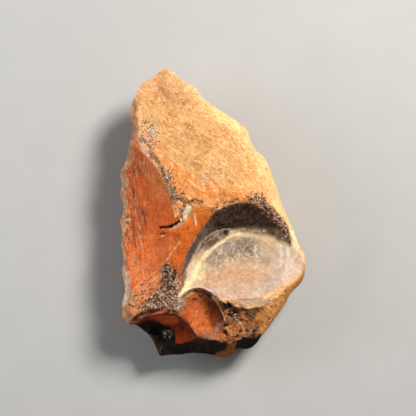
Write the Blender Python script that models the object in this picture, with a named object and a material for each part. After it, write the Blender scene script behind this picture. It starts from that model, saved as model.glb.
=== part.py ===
"""A hand axe flaked from a jasper nodule that keeps part of its sandy outer rind.

Every place on the stone is in millimetres: x to the side of the thick rind, y towards the tip, z up from the
surface it lies on. The form is found along rays from a point deep inside the stone. Each ray ends at the
first surface that it meets: the rounded skin of the nodule, or one of the flake scars struck off it.
"""

import bmesh
import bpy
import numpy as np

# Driving sizes in metres. The carving keeps its proportions when they change.
LENGTH = 0.110
WIDTH = 0.0706
THICKNESS = 0.0335

# The mesh
SPHERE_CUTS = 8
KEPT_SHARE = 0.028
FLAT = np.inf
FARTHEST = 128.0
HALVINGS = 26

# The start of the rays, low under the bowl so that they reach every wall from inside
CORE = np.array([2.0, -12.0, 7.0])

# The nodule
NODULE_MIDDLE = np.array([-2.0, -1.0, 16.0])
RIM_RISE_TO_TIP = 0.08
TOP_OF_NODULE = 19.0
BOTTOM_OF_NODULE = 16.8
ROUNDING = 2.3
RIM_DETAIL = 0.09
RIM_SMOOTHING = 16

# The outline seen from above, round from the tip: the rind side, the butt, then the worked edge
RIND_SIDE = [(-19.4, 55.1), (-16.3, 55.0), (-11.0, 50.7), (-6.1, 47.5), (-2.7, 43.3), (10.3, 34.8),
             (13.5, 31.9), (14.3, 28.1), (15.4, 24.6), (18.2, 23.2), (20.9, 19.4), (25.8, 5.7),
             (30.6, -6.5), (31.5, -10.3), (33.8, -12.7), (35.2, -18.5)]
BUTT = [(34.2, -24.7), (29.3, -29.6), (27.0, -34.2), (18.2, -46.4), (13.7, -50.5), (8.7, -50.4),
        (6.5, -53.6), (3.4, -54.9), (-1.1, -53.0), (-8.0, -52.3), (-13.3, -53.6), (-17.5, -54.9),
        (-20.1, -53.6), (-22.0, -49.4), (-25.1, -44.3), (-30.0, -41.2), (-32.3, -41.2)]
WORKED_EDGE = [(-35.2, -36.4), (-33.4, -28.3), (-34.6, -21.5), (-33.8, -16.0), (-35.0, -10.3),
               (-34.4, -6.5), (-35.3, -1.9), (-33.8, 2.3), (-35.2, 8.4), (-34.5, 11.8), (-35.3, 16.3),
               (-33.3, 20.2), (-30.3, 32.3), (-31.5, 36.9), (-30.6, 42.6), (-27.0, 49.6), (-22.4, 52.4)]

# Flake scars: a point on the scar, its rise along x and y, the radii of its hollow along and across its turn
# in degrees (a negative radius is a bulge), and the turn. A list of several is a hollow with a floor and
# walls.
BOWL_FLOOR = ((12, -17, 22.6), (-0.01, 0.08), (90, 60), 25)
BOWL_TOP = ((9, 4.4, 33.3), (-0.2, 1.1), (60, 60), 0)
BOWL_MIDDLE = ((6, -1, 28), (-5, 0), (FLAT, FLAT), 0)
FRONT = {
    "rind": [((4, 3, 33.2), (0.10, -0.04), (-130, -200), 37)],
    "red_upper": [((-23.0, 9.0, 25.2), (0.62, 0.11), (70, 150), 27)],
    "red_lower": [((-23.5, -13.0, 23.8), (0.52, 0.05), (34, 60), 0)],
    "middle": [((-12.0, -14, 28.6), (0.06, 0.06), (90, 90), 0)],
    "speckled": [((-19, -30.0, 25.0), (0.30, 0.15), (80, 80), 0)],
    "bowl_left": [BOWL_FLOOR, ((3, -26, 19.0), (0, 0), (46, 15.5), 60), BOWL_TOP],
    "bowl_right": [BOWL_FLOOR, BOWL_TOP, ((24.8, -3.0, 26.8), (0.2, 0.8), (60, 60), 0), BOWL_MIDDLE],
    "bowl_end": [((29, -14.0, 21.6), (-0.55, 0.10), (30, 40), 0)],
    "deep": [((-3.0, -34.2, 18.4), (0.0, 0.42), (6.8, 18), 20)],
    "under_left": [((-18, -42.0, 16.8), (0.1, 0.8), (30, 15), 0)],
    "rim_rind": [((24.5, -26.0, 24.2), (-0.36, 0.42), (-200, -200), 0)],
    "brown": [((11.0, -30.0, 23.6), (-0.02, 0.48), (90, 90), 0)],
    "under_hollow": [((-20.5, -43.8, 13.6), (0.0, 0.7), (8, 6), 0)],
    "underside": [((-3.0, -49.0, 14.0), (0.12, 1.4), (60, 60), 0)],
    "underside_right": [((13.0, -46.8, 16.2), (-0.4, 1.3), (60, 60), 0)],
}
BACK = {
    "resting_face": [((0, 0, 0), (0, 0), (FLAT, FLAT), 0)],
    "back_left_upper": [((-20, 18, 6.0), (-0.78, 0.15), (70, 45), 0)],
    "back_left_middle": [((-21, -4, 5.8), (-0.8, 0.0), (60, 24), 0)],
    "back_left_lower": [((-21, -24, 6.0), (-0.74, -0.25), (60, 40), 0)],
    "back_tip_left": [((-19, 36, 7.5), (-0.45, 0.35), (40, 60), 30)],
    "back_tip_right": [((-3, 32, 4.6), (0.25, 0.40), (45, 70), -20)],
    "back_right_upper": [((15, 12, 3.6), (0.50, 0.22), (60, 45), 20)],
    "back_right_lower": [((22, -18, 3.4), (0.50, -0.12), (60, 40), 0)],
    "back_butt_left": [((-14, -38, 4.0), (-0.20, -0.55), (45, 50), 0)],
    "back_butt_right": [((10, -39, 4.0), (0.20, -0.50), (40, 50), 0)],
}

# Small flakes along the worked edge: the x and y of each one's middle, its width along the edge and how
# steeply it rises
EDGE_FLAKES = [(-30.4, 43.0, 9, 1.05), (-31.2, 33.5, 9, 1.2), (-33.2, 23.0, 9, 1.1),
               (-34.7, 12.0, 7, 0.95), (-34.2, 5.0, 6, 1.3), (-35.0, -1.9, 6, 1.05),
               (-34.6, -9.0, 6, 2.4), (-34.2, -17.0, 9, 2.6), (-33.8, -27.5, 10, 1.7),
               (-34.8, -38.0, 8, 1.9)]
EDGE_HOLLOW = 30
EDGE_LIP = 0.6

STONE_COLOUR = (0.42, 0.13, 0.045, 1)
STONE_ROUGHNESS = 0.55


def clear_scene():
    for old in list(bpy.data.objects):
        bpy.data.objects.remove(old)


def closed_curve(points, steps=12):
    """A smooth closed curve through the points."""
    here = np.array(points, float)
    before, after, next_after = np.roll(here, 1, 0), np.roll(here, -1, 0), np.roll(here, -2, 0)
    t = np.linspace(0, 1, steps, endpoint=False)[:, None, None]
    bend = 2 * before - 5 * here + 4 * after - next_after
    twist = 3 * here - before - 3 * after + next_after
    curve = here + 0.5 * ((after - before) * t + bend * t**2 + twist * t**3)
    return curve.transpose(1, 0, 2).reshape(-1, 2)


def rim_radius(angle):
    """The outline's distance from the nodule's middle at each angle, as it is and smoothed."""
    curve = closed_curve(RIND_SIDE + BUTT + WORKED_EDGE) - NODULE_MIDDLE[:2]
    turn = np.arctan2(curve[:, 1], curve[:, 0])
    order = np.argsort(turn)
    even = np.radians(np.arange(-180, 180))
    exact = np.interp(even, turn[order], np.hypot(*curve[order].T), period=2 * np.pi)
    window = np.hanning(2 * RIM_SMOOTHING + 1)
    wrapped = np.concatenate([exact[-RIM_SMOOTHING:], exact, exact[:RIM_SMOOTHING]])
    smooth = np.convolve(wrapped, window / window.sum(), "valid")
    return [np.interp(angle, even, radius, period=2 * np.pi) for radius in (exact, smooth)]


def outside_nodule(places):
    """Whether each place lies outside the nodule: the outline at the rim, rounding off to top and bottom."""
    x, y, z = (places - NODULE_MIDDLE).T
    rise = z - RIM_RISE_TO_TIP * y
    exact, smooth = rim_radius(np.arctan2(y, x))
    steepness = rise / np.sqrt(x**2 + y**2 + rise**2)
    radius = smooth + (exact - smooth) * np.exp(-((steepness / RIM_DETAIL) ** 2))
    up = np.abs(rise) / np.where(rise > 0, TOP_OF_NODULE, BOTTOM_OF_NODULE)
    return (np.hypot(x, y) / radius) ** ROUNDING + up**ROUNDING > 1


def nodule(rays):
    """Distance to the nodule's skin, closed in on by halving."""
    low, high = np.zeros(len(rays)), np.full(len(rays), FARTHEST)
    for _ in range(HALVINGS):
        middle = (low + high) / 2
        outside = outside_nodule(CORE + rays * middle[:, None])
        high = np.where(outside, middle, high)
        low = np.where(outside, low, middle)
    return high


def scar(rays, side, point, rise, radii, turn):
    """Distance to one hollow or bulging face, on the front (side 1) or the back (side -1)."""
    normal = side * np.array([-rise[0], -rise[1], 1.0])
    normal /= np.linalg.norm(normal)
    along = np.array([np.cos(np.radians(turn)), np.sin(np.radians(turn)), 0.0])
    along -= normal * (along @ normal)
    along /= np.linalg.norm(along)
    axes = np.array([along, np.cross(normal, along), normal])
    bend = np.array([0.5 / radii[0], 0.5 / radii[1], 0.0])
    start = axes @ (CORE - point)
    step = rays @ axes.T
    square = step**2 @ bend
    middle = 2 * step @ (bend * start) - step[:, 2]
    depth = bend @ start**2 - start[2]
    inside = middle**2 - 4 * square * depth
    below = np.sqrt(np.maximum(inside, 0)) - middle
    met = (inside >= 0) & (below > 1e-9)
    return np.where(met, 2 * depth / np.where(met, below, 1), np.inf)


def edge_flakes():
    """The retouch: a short steep scar for each small flake, rising from the worked edge."""
    flakes = {}
    for number, (x, y, width, steepness) in enumerate(EDGE_FLAKES):
        edge = NODULE_MIDDLE[2] + RIM_RISE_TO_TIP * (y - NODULE_MIDDLE[1]) + EDGE_LIP
        flakes[f"edge_{number}"] = [((x, y, edge), (steepness, 0), (EDGE_HOLLOW, 1.6 * width), 0)]
    return flakes


def all_reaches(rays):
    """Distance along each ray to the skin and to every scar, one row for each."""
    reaches = [nodule(rays)]
    for side, scars in ((1, FRONT | edge_flakes()), (-1, BACK)):
        for faces in scars.values():
            reaches.append(np.max([scar(rays, side, *face) for face in faces], axis=0))
    return np.minimum(reaches, FARTHEST)


def onto_arrises(rays, edges):
    """Turns the rays nearest to each arris, where two surfaces meet, so that they end on it."""
    reaches = all_reaches(rays)
    first = reaches.argmin(axis=0)
    start, end = edges[first[edges[:, 0]] != first[edges[:, 1]]].T
    before = reaches[first[end], start] - reaches[first[start], start]
    after = reaches[first[start], end] - reaches[first[end], end]
    share = before / np.maximum(before + after, 1e-9)
    mover = np.where(share < 0.5, start, end)
    other = np.where(share < 0.5, end, start)
    share = np.minimum(share, 1 - share)
    order = np.argsort(-share)
    mover, other, share = mover[order], other[order], share[order, None]
    turned = rays.copy()
    turned[mover] = rays[mover] * (1 - share) + rays[other] * share
    return turned / np.linalg.norm(turned, axis=1)[:, None]


def stone_points(rays, edges):
    """The stone's surface along each ray: the nearest of the skin and the scars."""
    rays = onto_arrises(rays, edges)
    return CORE + rays * all_reaches(rays).min(axis=0)[:, None]


def sized(points):
    """Brings the points to the driving sizes, standing on z = 0 with the box centred on the origin."""
    low, high = points.min(axis=0), points.max(axis=0)
    points = (points - low) / (high - low) - (0.5, 0.5, 0)
    return points * (WIDTH, LENGTH, THICKNESS)


def vertex_places(mesh):
    places = np.empty(3 * len(mesh.vertices))
    mesh.vertices.foreach_get("co", places)
    return places.reshape(-1, 3)


def carved_mesh():
    """A dense sphere, stretched to the stone's proportions and then moved along its rays."""
    mesh = bpy.data.meshes.new("hand_axe")
    sphere = bmesh.new()
    bmesh.ops.create_icosphere(sphere, subdivisions=SPHERE_CUTS, radius=1)
    sphere.to_mesh(mesh)
    sphere.free()
    rays = vertex_places(mesh) * (WIDTH, LENGTH, THICKNESS)
    rays /= np.linalg.norm(rays, axis=1)[:, None]
    edges = np.empty(2 * len(mesh.edges), int)
    mesh.edges.foreach_get("vertices", edges)
    mesh.vertices.foreach_set("co", sized(stone_points(rays, edges.reshape(-1, 2))).ravel())
    mesh.update()
    return mesh


def stone_material():
    material = bpy.data.materials.new("jasper")
    material.use_nodes = True
    shader = material.node_tree.nodes["Principled BSDF"]
    shader.inputs["Base Color"].default_value = STONE_COLOUR
    shader.inputs["Roughness"].default_value = STONE_ROUGHNESS
    shader.inputs["Metallic"].default_value = 0.0
    return material


def hand_axe():
    """The stone as one solid, with the dense carving thinned to the triangles that its forms need."""
    collection = bpy.data.collections.new("stone hand axe")
    bpy.context.scene.collection.children.link(collection)
    dense = bpy.data.objects.new("dense carving", carved_mesh())
    collection.objects.link(dense)
    thinning = dense.modifiers.new("thinning", "DECIMATE")
    thinning.ratio = KEPT_SHARE
    bpy.context.view_layer.update()
    graph = bpy.context.evaluated_depsgraph_get()
    mesh = bpy.data.meshes.new_from_object(dense.evaluated_get(graph))
    bpy.data.objects.remove(dense)
    mesh.vertices.foreach_set("co", sized(vertex_places(mesh)).ravel())
    mesh.name = "hand_axe"
    mesh.materials.append(stone_material())
    mesh.shade_smooth()
    mesh.set_sharp_from_angle(angle=0.6)
    stone = bpy.data.objects.new("hand_axe", mesh)
    collection.objects.link(stone)
    return stone


clear_scene()
hand_axe()
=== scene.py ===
"""The looks of the stone hand axe: the CAD's carving again on a much finer mesh, with the rind's sandy grain,
the ripples of the scars and the marks on them, coloured stone, a pale floor and soft light.

Places on the stone are in millimetres, as in the CAD source: x to the side of the thick rind, y towards the
tip, z up from the surface it lies on. The colours and marks of its front are placed in the photograph's
pixels.
"""

import itertools
import math
from functools import partial
from typing import NamedTuple

import bmesh
import bpy
import numpy as np
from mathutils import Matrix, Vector


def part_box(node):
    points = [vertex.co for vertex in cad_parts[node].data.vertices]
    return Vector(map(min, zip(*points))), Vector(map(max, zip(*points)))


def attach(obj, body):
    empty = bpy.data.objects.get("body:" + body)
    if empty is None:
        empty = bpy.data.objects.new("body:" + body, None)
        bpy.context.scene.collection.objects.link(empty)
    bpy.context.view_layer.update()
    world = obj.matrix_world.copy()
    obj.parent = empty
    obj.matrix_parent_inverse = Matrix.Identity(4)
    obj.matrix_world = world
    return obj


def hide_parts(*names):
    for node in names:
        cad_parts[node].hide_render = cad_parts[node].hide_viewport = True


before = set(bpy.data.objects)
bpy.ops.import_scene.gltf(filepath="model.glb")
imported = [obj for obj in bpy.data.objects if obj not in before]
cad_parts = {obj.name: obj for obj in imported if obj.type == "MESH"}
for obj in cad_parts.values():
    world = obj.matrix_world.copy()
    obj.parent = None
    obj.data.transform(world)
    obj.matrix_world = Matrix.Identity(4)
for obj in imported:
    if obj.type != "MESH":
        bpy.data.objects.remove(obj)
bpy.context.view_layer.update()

# The carving, with the same values as the CAD source
FLAT = np.inf
FARTHEST = 128.0
HALVINGS = 26
CORE = np.array([2.0, -12.0, 7.0])
NODULE_MIDDLE = np.array([-2.0, -1.0, 16.0])
RIM_RISE_TO_TIP = 0.08
TOP_OF_NODULE = 19.0
BOTTOM_OF_NODULE = 16.8
ROUNDING = 2.3
RIM_DETAIL = 0.09
RIM_SMOOTHING = 16
RIND_SIDE = [(-19.4, 55.1), (-16.3, 55.0), (-11.0, 50.7), (-6.1, 47.5), (-2.7, 43.3), (10.3, 34.8),
             (13.5, 31.9), (14.3, 28.1), (15.4, 24.6), (18.2, 23.2), (20.9, 19.4), (25.8, 5.7),
             (30.6, -6.5), (31.5, -10.3), (33.8, -12.7), (35.2, -18.5)]
BUTT = [(34.2, -24.7), (29.3, -29.6), (27.0, -34.2), (18.2, -46.4), (13.7, -50.5), (8.7, -50.4),
        (6.5, -53.6), (3.4, -54.9), (-1.1, -53.0), (-8.0, -52.3), (-13.3, -53.6), (-17.5, -54.9),
        (-20.1, -53.6), (-22.0, -49.4), (-25.1, -44.3), (-30.0, -41.2), (-32.3, -41.2)]
WORKED_EDGE = [(-35.2, -36.4), (-33.4, -28.3), (-34.6, -21.5), (-33.8, -16.0), (-35.0, -10.3),
               (-34.4, -6.5), (-35.3, -1.9), (-33.8, 2.3), (-35.2, 8.4), (-34.5, 11.8), (-35.3, 16.3),
               (-33.3, 20.2), (-30.3, 32.3), (-31.5, 36.9), (-30.6, 42.6), (-27.0, 49.6), (-22.4, 52.4)]
BOWL_FLOOR = ((12, -17, 22.6), (-0.01, 0.08), (90, 60), 25)
BOWL_TOP = ((9, 4.4, 33.3), (-0.2, 1.1), (60, 60), 0)
BOWL_MIDDLE = ((6, -1, 28), (-5, 0), (FLAT, FLAT), 0)
FRONT = {
    "rind": [((4, 3, 33.2), (0.10, -0.04), (-130, -200), 37)],
    "red_upper": [((-23.0, 9.0, 25.2), (0.62, 0.11), (70, 150), 27)],
    "red_lower": [((-23.5, -13.0, 23.8), (0.52, 0.05), (34, 60), 0)],
    "middle": [((-12.0, -14, 28.6), (0.06, 0.06), (90, 90), 0)],
    "speckled": [((-19, -30.0, 25.0), (0.30, 0.15), (80, 80), 0)],
    "bowl_left": [BOWL_FLOOR, ((3, -26, 19.0), (0, 0), (46, 15.5), 60), BOWL_TOP],
    "bowl_right": [BOWL_FLOOR, BOWL_TOP, ((24.8, -3.0, 26.8), (0.2, 0.8), (60, 60), 0), BOWL_MIDDLE],
    "bowl_end": [((29, -14.0, 21.6), (-0.55, 0.10), (30, 40), 0)],
    "deep": [((-3.0, -34.2, 18.4), (0.0, 0.42), (6.8, 18), 20)],
    "under_left": [((-18, -42.0, 16.8), (0.1, 0.8), (30, 15), 0)],
    "rim_rind": [((24.5, -26.0, 24.2), (-0.36, 0.42), (-200, -200), 0)],
    "brown": [((11.0, -30.0, 23.6), (-0.02, 0.48), (90, 90), 0)],
    "under_hollow": [((-20.5, -43.8, 13.6), (0.0, 0.7), (8, 6), 0)],
    "underside": [((-3.0, -49.0, 14.0), (0.12, 1.4), (60, 60), 0)],
    "underside_right": [((13.0, -46.8, 16.2), (-0.4, 1.3), (60, 60), 0)],
}
BACK = {
    "resting_face": [((0, 0, 0), (0, 0), (FLAT, FLAT), 0)],
    "back_left_upper": [((-20, 18, 6.0), (-0.78, 0.15), (70, 45), 0)],
    "back_left_middle": [((-21, -4, 5.8), (-0.8, 0.0), (60, 24), 0)],
    "back_left_lower": [((-21, -24, 6.0), (-0.74, -0.25), (60, 40), 0)],
    "back_tip_left": [((-19, 36, 7.5), (-0.45, 0.35), (40, 60), 30)],
    "back_tip_right": [((-3, 32, 4.6), (0.25, 0.40), (45, 70), -20)],
    "back_right_upper": [((15, 12, 3.6), (0.50, 0.22), (60, 45), 20)],
    "back_right_lower": [((22, -18, 3.4), (0.50, -0.12), (60, 40), 0)],
    "back_butt_left": [((-14, -38, 4.0), (-0.20, -0.55), (45, 50), 0)],
    "back_butt_right": [((10, -39, 4.0), (0.20, -0.50), (40, 50), 0)],
}
EDGE_FLAKES = [(-30.4, 43.0, 9, 1.05), (-31.2, 33.5, 9, 1.2), (-33.2, 23.0, 9, 1.1),
               (-34.7, 12.0, 7, 0.95), (-34.2, 5.0, 6, 1.3), (-35.0, -1.9, 6, 1.05),
               (-34.6, -9.0, 6, 2.4), (-34.2, -17.0, 9, 2.6), (-33.8, -27.5, 10, 1.7),
               (-34.8, -38.0, 8, 1.9)]
EDGE_HOLLOW = 30
EDGE_LIP = 0.6

# The fine mesh: 6 x 128 x 128 four-sided faces, most of them on the front
CUTS = 127
FRONT_SHARE = 0.33
HALF_SIZE = np.array([35.3, 55.0, 16.7])
MIDDLE_HEIGHT = 16.7
CHANCE = np.random.default_rng(11).uniform(-1, 1, 8191)

# Relief, in millimetres of height, and the directions in which the rind's grain and the jasper's fibres run
RIND_STREAKS = 0.11
RIND_SAND = 0.05
RIND_WAVES = 0.26
SCAR_WAVES = 0.05
SCAR_SAND = 0.02
CRYSTALS = 0.30
RIND_SWIRL = 2.4
GRAIN_TURN = -38
FIBRE_TURN = -80
WALL_TURN = -70

# Which of the random patterns each one is
SEED = {"speckles": 100, "streaks": 200, "sand": 210, "waves": 220, "crystals": 230, "swirl": 240,
        "grains": 300, "fine grains": 301, "wall": 320, "fibres": 330, "clouds": 335, "wear and highlight": 340,
        "bowl": 350}

# From where to where in millimetres each paint fades in: over a height, to the worked edge or along the stone
FRONT_FADE = (-7, -3)
FLANK_FADE = (0.5, 2.5)
UNDER_WORKED_EDGE = (17, 25)
UNDER_TIP = (18, 30)
BESIDE_WORKED_EDGE = (22, 29)
FIBRES_FROM_BUTT = (-24, -12)
WALL_FOOT = (0.0, 0.9)
LEFT_WALL = (-2, 12)

# The size of what breaks up the paint, in millimetres, and how strong it is
RAGGED_SIZE = 2.4
BREAK_SIZE = 1.8
GRAIN_SIZE = 0.8
FINE_GRAIN_SIZE = 0.45
STIPPLING = 1.6
LUMP_EDGE = (0.1, 0.5)
WALL_HATCH = 0.8
BOWL_SAND = 0.20
FIBRE_COVER = 0.6

# Wear and painted highlight on arrises, painted shade in creases, how sharp and how light the stone has to be
# for them, and the finish
EDGE_WEAR_AND_HIGHLIGHT = 0.22
CREASE_SHADE = 0.45
SHARPNESS = (0.012, 0.06)
WEAR_AND_HIGHLIGHT_FROM = (0.01, 0.1)
GLOSS = 0.12
ROUGHNESS = (0.64, 0.88)

# Floor, light and camera, in metres and watts
FLOOR_SIZE = 4.0
FLOOR_DROP = 0.0002
FLOOR_TONES = ((0.40, 0.395, 0.38, 1), (0.44, 0.435, 0.42, 1))
STONE_MIDDLE = Vector((0, 0, 0.017))
LIGHTS = {
    "key": ((0.40, 0.44, 0.56), 0.24, 11.2, (1, 0.97, 0.93)),
    "side": ((-0.55, 0.10, 0.25), 0.4, 2.3, (0.94, 0.97, 1)),
}
SKY = (0.9, 0.95, 1, 1)
SKY_STRENGTH = 0.13
CAMERA_DISTANCE = 1.0
CAMERA_PLACE = (-0.0019, 0.0023)
METRES_PER_PIXEL = 0.00038
PHOTO_WIDTH = 416

# Colours as seen: the rind and its edges, the jasper, the bowl, greys, browns and blacks
PALETTE = {
    "rind": (201, 156, 100), "rind_pale": (236, 208, 154), "rind_light": (232, 206, 150),
    "rind_orange": (212, 132, 60), "rind_brown": (150, 92, 46), "back_rind": (190, 138, 88),
    "tip_side": (206, 122, 62), "edge_side": (190, 100, 62), "yellow": (208, 142, 74),
    "red": (190, 92, 40), "red_bright": (216, 112, 56), "red_deep": (160, 58, 24),
    "red_lit": (232, 104, 40), "orange": (190, 94, 34), "orange_brown": (186, 108, 50),
    "deep": (196, 100, 44), "under": (132, 48, 14), "lower_left": (220, 142, 92), "back": (150, 78, 46),
    "pink": (210, 160, 124), "rose": (178, 152, 142), "peach": (190, 144, 108), "lilac": (186, 170, 162),
    "bowl": (196, 170, 142), "cream": (238, 220, 172), "pale": (212, 190, 160), "white": (240, 230, 210),
    "ledge": (252, 208, 156), "curl": (212, 188, 158), "dimple": (186, 162, 130),
    "grey": (160, 142, 126), "grey_brown": (146, 116, 90), "mottled": (118, 106, 96),
    "grey_dark": (84, 72, 62), "speckled_grey": (132, 108, 86), "speckled_dark": (62, 44, 34),
    # The wall and wall_left colours are painted shade on the bowl's steep wall, greyer to the left; wall also
    # lays a dark streak in the bowl
    "wall": (62, 44, 34), "wall_left": (104, 92, 82), "wall_speck": (100, 68, 54),
    "spot": (134, 82, 46), "butt": (116, 66, 34), "brown": (96, 56, 30), "smudge": (92, 48, 32),
    # The colour for where the stone turns under is near-black painted shade
    "dark": (44, 31, 24), "black": (14, 10, 8), "underside": (13, 7, 5),
}
SMOOTH_DARKS = ("black", "underside")
ZONES = {
    "skin": "rind", "rind": "rind", "red_upper": "red", "red_lower": "red_bright", "middle": "orange",
    "speckled": "red_bright", "bowl_left": "bowl", "bowl_right": "bowl", "bowl_end": "bowl",
    "deep": "deep", "under_left": "under", "rim_rind": "yellow", "brown": "brown",
    # The faces where the stone turns under get the near-black painted shade
    "under_hollow": "underside", "underside": "underside", "underside_right": "underside",
    "resting_face": "back_rind",
}

# The shader's patterns: how fine they are for each millimetre, their detail and their roughness
PATTERNS = {"sand": (1.9, 2, 0.6), "patches": (0.16, 3, 0.55), "flecks": (1.3, 3, 0.7),
            "clouds": (0.45, 4, 0.65), "dust": (3.6, 1, 0.5)}
SWIRL_SCALE = 0.11
SWIRL_PUSH = (8, 8, 8)
BUMP_HEIGHT = 0.0003

# The shader's tones in order: where on the stone, the pattern they follow, the pattern's values between which
# their share changes, the shares there, the colour, and how it is mixed in
TONING = {
    "burnt streaks": ("grain", "streaks", (0.36, 0.52), (0.9, 0.0), (0.74, 0.40, 0.24), "MULTIPLY"),
    "pale streaks": ("grain", "streaks", (0.50, 0.66), (0.0, 0.5), (0.86, 0.73, 0.50), "MIX"),
    "broad patches": (None, "patches", (0.35, 0.65), (0.0, 0.4), (0.80, 0.62, 0.50), "MULTIPLY"),
    "dark fibres": ("fibre", "fibres", (0.36, 0.52), (0.7, 0.0), (0.50, 0.42, 0.38), "MULTIPLY"),
    "pale fibres": ("fibre", "fibres", (0.54, 0.68), (0.0, 0.5), (1.35, 1.45, 1.5), "MULTIPLY"),
    "clouds": ("red", "clouds", (0.34, 0.56), (0.6, 0.0), (0.62, 0.50, 0.42), "MULTIPLY"),
    "flecks": ("red", "flecks", (0.32, 0.45), (0.75, 0.0), (0.36, 0.28, 0.24), "MULTIPLY"),
    "glints": ("red", "flecks", (0.58, 0.70), (0.0, 0.6), (1.3, 1.5, 1.7), "MULTIPLY"),
    "sand": (None, "sand", (0.35, 0.65), (0.0, 0.45), (0.68, 0.60, 0.55), "MULTIPLY"),
    "dust": (None, "dust", (0.35, 0.65), (0.0, 0.8), (1.42, 1.40, 1.36), "MULTIPLY"),
}
DARKEST_CRYSTAL = (0.012, 0.008, 0.006, 1)
LIGHTER_CRYSTALS = [(0.34, (0.085, 0.045, 0.028, 1)), (0.58, (0.28, 0.18, 0.12, 1)),
                    (0.80, (0.36, 0.29, 0.23, 1)), (0.94, (0.60, 0.50, 0.40, 1))]
CRYSTAL_SHARE = 0.85
CRYSTAL_COVER = 0.9


class Mark(NamedTuple):
    """A tone or mark in the photograph's pixels, x to the right and y down, its height in millimetres.

    The width is half a line's, a spot's radius or the size of lumps. The points are a line or an outline.
    """

    shape: str
    colour: str
    strength: float
    width: float
    softness: float
    ragged: float
    points: list
    height: float = 0


def patch(colour, strength, softness, ragged, outline, height=0):
    return Mark("patch", colour, strength, 0, softness, ragged, outline, height)


line = partial(Mark, "line")
spot = partial(Mark, "spot")
lumps = partial(Mark, "lumps")

# Broad tones and then marks on the front, later ones over earlier ones, as read on the photograph
MM_PER_PIXEL = 0.3793
PHOTO_MIDDLE = (213, 214)
LEAST_SOFTNESS = 0.5
SPECKLED_PATCH = [(168, 260), (177, 267), (180, 278), (181, 288), (186, 296), (188, 303), (183, 309),
                  (165, 308), (150, 309), (139, 304), (146, 295), (155, 290), (160, 278), (162, 268)]
BESIDE_RIDGE = [(160, 166), (168, 168), (178, 186), (188, 196), (186, 202), (176, 198), (168, 186)]
WORKED_BAND = [(133, 140), (130, 160), (121, 166), (119, 180), (119, 200), (118, 225), (120, 250),
               (122, 262), (127, 262), (128, 240), (131, 205), (131, 170), (136, 142)]
MOTTLED_BAND = [(208, 262), (214, 250), (228, 243), (246, 240), (258, 244), (262, 256), (248, 258),
                (232, 260), (218, 264)]
BOWL_WALL = [(196, 244), (204, 224), (214, 210), (230, 203), (250, 202), (266, 212), (280, 226), (288, 240),
             (268, 229), (240, 224), (218, 226), (206, 238)]
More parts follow.
